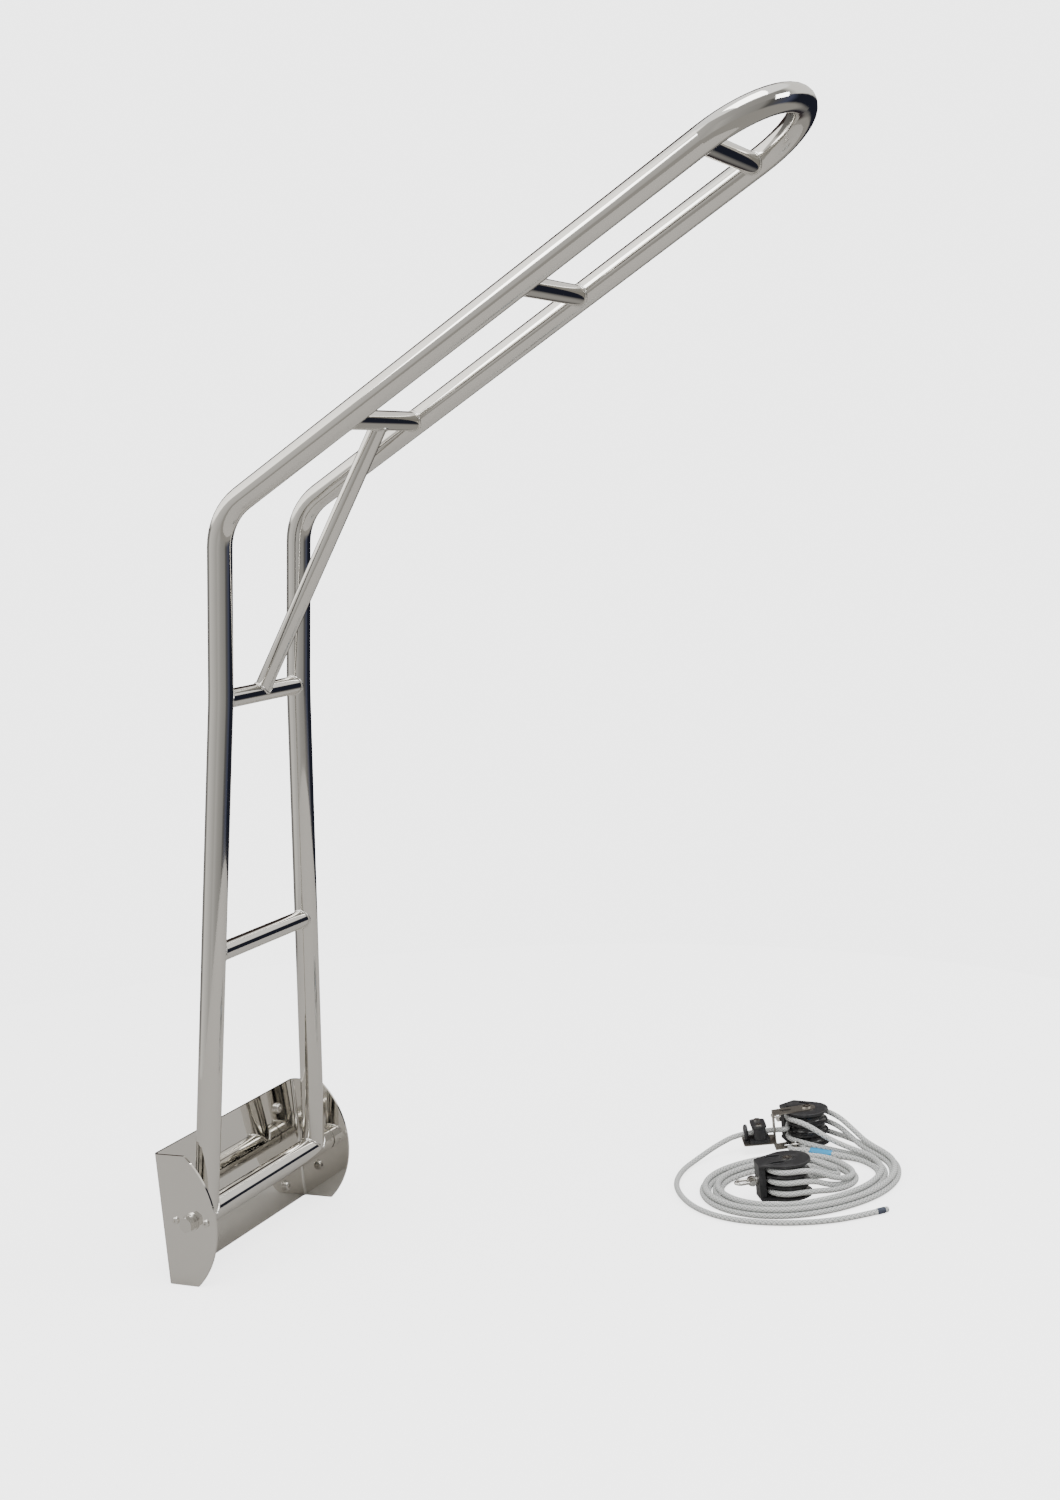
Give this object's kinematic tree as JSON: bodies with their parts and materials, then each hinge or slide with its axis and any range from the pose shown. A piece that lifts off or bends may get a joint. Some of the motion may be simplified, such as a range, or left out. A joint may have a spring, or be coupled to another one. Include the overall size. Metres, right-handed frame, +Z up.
{
  "type": "folding stern davit with rope tackle",
  "caption": "Folding dinghy davit of polished tube with rungs and brace on a hinged transom bracket, with a six-part rope tackle and cam cleat.",
  "frame": {"origin": "centre of the bracket's rear face, which lies on the transom", "axes": "+X along the hinge, -Y outboard, +Z up"},
  "size_m": [0.7254, 0.9502, 1.381],
  "materials": {
    "polished_steel": "mirror polished stainless",
    "fastener_steel": "bright stainless",
    "strap_steel": "dull satin stainless",
    "bush_plastic": "white acetal",
    "block_plastic": "moulded black",
    "sheave_plastic": "smooth black",
    "rope": "white double braid with a grey fleck"
  },
  "bodies": {
    "bracket": {"hinge_bracket": "polished_steel", "transom_screws": "fastener_steel", "transom_washers": "fastener_steel", "lock_screws": "fastener_steel", "hinge_bush_near": "bush_plastic", "hinge_bush_far": "bush_plastic", "upper_block_cheek_top": "block_plastic", "upper_block_cheek_bottom": "block_plastic", "upper_block_dividers": "block_plastic", "upper_block_axle": "fastener_steel", "upper_block_head": "block_plastic", "lower_block_cheek_top": "block_plastic", "lower_block_cheek_bottom": "block_plastic", "lower_block_dividers": "block_plastic", "lower_block_axle": "fastener_steel", "lower_block_head": "block_plastic", "cam_arm": "strap_steel", "cam_base": "block_plastic", "cam_cap": "block_plastic", "cam_pins": "fastener_steel", "cam_fairlead": "block_plastic", "rope_hank": "rope", "rope_upper_lead": "rope", "rope_lower_lead": "rope", "rope_tail": "rope"},
    "davit": {"main_tube": "polished_steel", "hinge_tube": "polished_steel", "lower_rung": "polished_steel", "upper_rung": "polished_steel", "inner_arm_bar": "polished_steel", "middle_arm_bar": "polished_steel", "outer_arm_bar": "polished_steel", "brace_tube": "polished_steel", "end_plug_near": "fastener_steel", "end_plug_far": "fastener_steel", "hinge_washer_near": "fastener_steel", "hinge_washer_far": "fastener_steel", "spring_washer_near": "fastener_steel", "spring_washer_far": "fastener_steel", "hinge_bolt_near": "fastener_steel", "hinge_bolt_far": "fastener_steel"},
    "cam_left": {"cam_left": "block_plastic"},
    "cam_right": {"cam_right": "block_plastic"},
    "upper_eye": {"upper_block_eye": "fastener_steel"},
    "upper_shackle": {"upper_shackle": "fastener_steel", "upper_shackle_pin": "fastener_steel"},
    "upper_sheave_1": {"upper_sheave_1": "sheave_plastic"},
    "upper_sheave_2": {"upper_sheave_2": "sheave_plastic"},
    "upper_sheave_3": {"upper_sheave_3": "sheave_plastic"},
    "lower_eye": {"lower_block_eye": "fastener_steel"},
    "lower_shackle": {"lower_shackle": "fastener_steel", "lower_shackle_pin": "fastener_steel"},
    "lower_sheave_1": {"lower_sheave_1": "sheave_plastic"},
    "lower_sheave_2": {"lower_sheave_2": "sheave_plastic"},
    "lower_sheave_3": {"lower_sheave_3": "sheave_plastic"}
  },
  "joints": [
    {"name": "davit_fold", "type": "hinge", "parent": "bracket", "child": "davit", "pos_m": [0, -0.049, 0], "axis": [1, 0, 0], "range_deg": [-24, 135]},
    {"name": "upper_eye_swivel", "type": "hinge", "parent": "bracket", "child": "upper_eye", "pos_m": [0.50791, -0.66291, -0.0591], "axis": [-0.4848, -0.8746, 0], "continuous": true},
    {"name": "upper_shackle_swing", "type": "hinge", "parent": "upper_eye", "child": "upper_shackle", "pos_m": [0.53336, -0.617, -0.0591], "axis": [0.8746, -0.4848, 0], "range_deg": [-60, 60]},
    {"name": "upper_sheave_1_turn", "type": "hinge", "parent": "bracket", "child": "upper_sheave_1", "pos_m": [0.50791, -0.66291, -0.0591], "axis": [0, 0, 1], "continuous": true},
    {"name": "upper_sheave_2_turn", "type": "hinge", "parent": "bracket", "child": "upper_sheave_2", "pos_m": [0.50791, -0.66291, -0.0591], "axis": [0, 0, 1], "continuous": true},
    {"name": "upper_sheave_3_turn", "type": "hinge", "parent": "bracket", "child": "upper_sheave_3", "pos_m": [0.50791, -0.66291, -0.0591], "axis": [0, 0, 1], "continuous": true},
    {"name": "lower_eye_swivel", "type": "hinge", "parent": "bracket", "child": "lower_eye", "pos_m": [0.3054, -0.69938, -0.0607], "axis": [0.5592, -0.829, 0], "continuous": true},
    {"name": "lower_shackle_swing", "type": "hinge", "parent": "lower_eye", "child": "lower_shackle", "pos_m": [0.27604, -0.65586, -0.0607], "axis": [0.829, 0.5592, 0], "range_deg": [-60, 60]},
    {"name": "lower_sheave_1_turn", "type": "hinge", "parent": "bracket", "child": "lower_sheave_1", "pos_m": [0.3054, -0.69938, -0.0607], "axis": [0, 0, 1], "continuous": true},
    {"name": "lower_sheave_2_turn", "type": "hinge", "parent": "bracket", "child": "lower_sheave_2", "pos_m": [0.3054, -0.69938, -0.0607], "axis": [0, 0, 1], "continuous": true},
    {"name": "lower_sheave_3_turn", "type": "hinge", "parent": "bracket", "child": "lower_sheave_3", "pos_m": [0.3054, -0.69938, -0.0607], "axis": [0, 0, 1], "continuous": true},
    {"name": "cam_left_swing", "type": "hinge", "parent": "bracket", "child": "cam_left", "pos_m": [0.45524, -0.60627, -0.0581], "axis": [0, 0, 1], "range_deg": [-25, 0], "stiffness_Nm_per_rad": 0.02},
    {"name": "cam_right_swing", "type": "hinge", "parent": "bracket", "child": "cam_right", "pos_m": [0.47771, -0.59531, -0.0581], "axis": [0, 0, 1], "range_deg": [0, 25], "stiffness_Nm_per_rad": 0.02}
  ]
}
